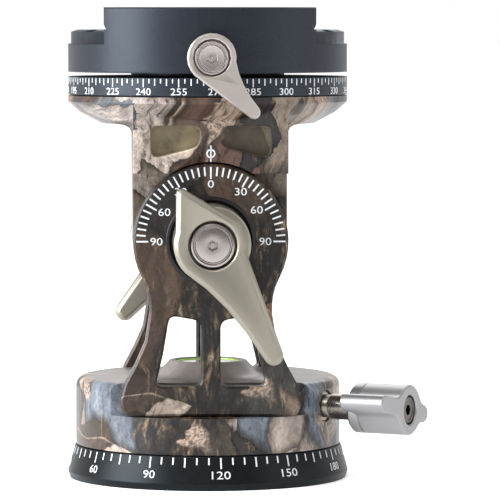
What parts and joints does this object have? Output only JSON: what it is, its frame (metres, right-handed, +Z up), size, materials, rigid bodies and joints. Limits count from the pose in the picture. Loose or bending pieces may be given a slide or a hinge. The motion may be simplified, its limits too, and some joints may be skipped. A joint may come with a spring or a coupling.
{
  "type": "two-way monopod head",
  "caption": "Tilt head on a panning base, with a panning quick-release clamp on top, locking levers and a side pan lock knob.",
  "frame": {"origin": "centre of the round foot's underside, on the monopod thread's axis", "axes": "+Z up along the panning axes, -Y towards the viewer of the tilt dial, +X to that viewer's right"},
  "size_m": [0.0972, 0.102, 0.128],
  "materials": {
    "camo_coat": "bark and leaf camouflage print under a semi-gloss coat",
    "black_anodised": "black anodised, fine satin",
    "satin_silver": "bead-blasted champagne silver",
    "satin_bare": "satin turned",
    "steel": "bright",
    "brass": "turned",
    "polymer": "plain",
    "level_glass": "clear green"
  },
  "bodies": {
    "base": {"foot_scale_base": "black_anodised", "stud_insert": "steel", "pan_thrust_washer": "polymer", "pan_bolt": "steel"},
    "housing": {"pan_housing": "camo_coat", "pan_bush": "brass", "level_cup": "steel", "level_lens": "level_glass", "front_plate": "camo_coat", "rear_plate": "camo_coat", "front_foot_screw_left": "steel", "front_foot_screw_right": "steel", "rear_foot_screw_left": "steel", "rear_foot_screw_right": "steel", "tilt_axle": "steel", "front_friction_disc": "polymer", "rear_friction_disc": "polymer", "tilt_washer": "steel", "drag_washer": "steel", "pan_lock_bush": "satin_bare", "pan_lock_pad": "brass"},
    "upper": {"tilt_body": "camo_coat", "top_scale_ring": "black_anodised", "top_pan_bush": "brass", "ring_screw_1": "steel", "ring_screw_2": "steel", "ring_screw_3": "steel", "ring_screw_4": "steel"},
    "clamp": {"clamp_body": "black_anodised", "clamp_spindle": "black_anodised", "spindle_screw_1": "steel", "spindle_screw_2": "steel", "spindle_screw_3": "steel", "keeper_washer": "steel", "keeper_screw": "steel", "guide_pin_left": "steel", "guide_pin_right": "steel", "jaw_spring_left": "steel", "jaw_spring_right": "steel"},
    "jaw": {"sliding_jaw": "black_anodised"},
    "clamp_lever": {"clamp_lever": "satin_silver", "clamp_lever_washer": "steel", "draw_screw": "steel"},
    "tilt_lever": {"tilt_lever": "satin_silver", "tilt_lever_screw": "steel"},
    "drag_lever": {"drag_lever": "satin_silver", "drag_lever_screw": "steel"},
    "pan_knob": {"pan_lock_knob": "satin_bare", "pan_lock_stem": "steel", "pan_lock_screw": "steel"}
  },
  "joints": [
    {"name": "base_pan", "type": "hinge", "parent": "base", "child": "housing", "pos_m": [0, 0, 0.009], "axis": [0, 0, 1], "continuous": true},
    {"name": "tilt", "type": "hinge", "parent": "housing", "child": "upper", "pos_m": [0, 0, 0.0659], "axis": [0, 1, 0], "range_deg": [-90, 90]},
    {"name": "top_pan", "type": "hinge", "parent": "upper", "child": "clamp", "pos_m": [0, 0, 0.1095], "axis": [0, 0, 1], "continuous": true},
    {"name": "clamp_turn", "type": "hinge", "parent": "clamp", "child": "clamp_lever", "pos_m": [0, -0.038, 0.1147], "axis": [0, 1, 0], "range_deg": [0, 150]},
    {"name": "jaw_slide", "type": "slide", "parent": "clamp", "child": "jaw", "axis": [0, 1, 0], "range_m": [0, 0.002]},
    {"name": "tilt_lever_turn", "type": "hinge", "parent": "housing", "child": "tilt_lever", "pos_m": [0, -0.0315, 0.0659], "axis": [0, 1, 0], "range_deg": [0, 60]},
    {"name": "drag_lever_turn", "type": "hinge", "parent": "housing", "child": "drag_lever", "pos_m": [0, 0.0315, 0.0659], "axis": [0, -1, 0], "range_deg": [0, 45]},
    {"name": "pan_lock_turn", "type": "hinge", "parent": "housing", "child": "pan_knob", "pos_m": [0.03122, -0.01731, 0.0206], "axis": [0.8746, -0.4848, 0], "range_deg": [0, 120]}
  ],
  "couplings": [
    {"joint": "clamp_turn", "follows": "jaw_slide", "rad_per_m": 1308.9}
  ]
}
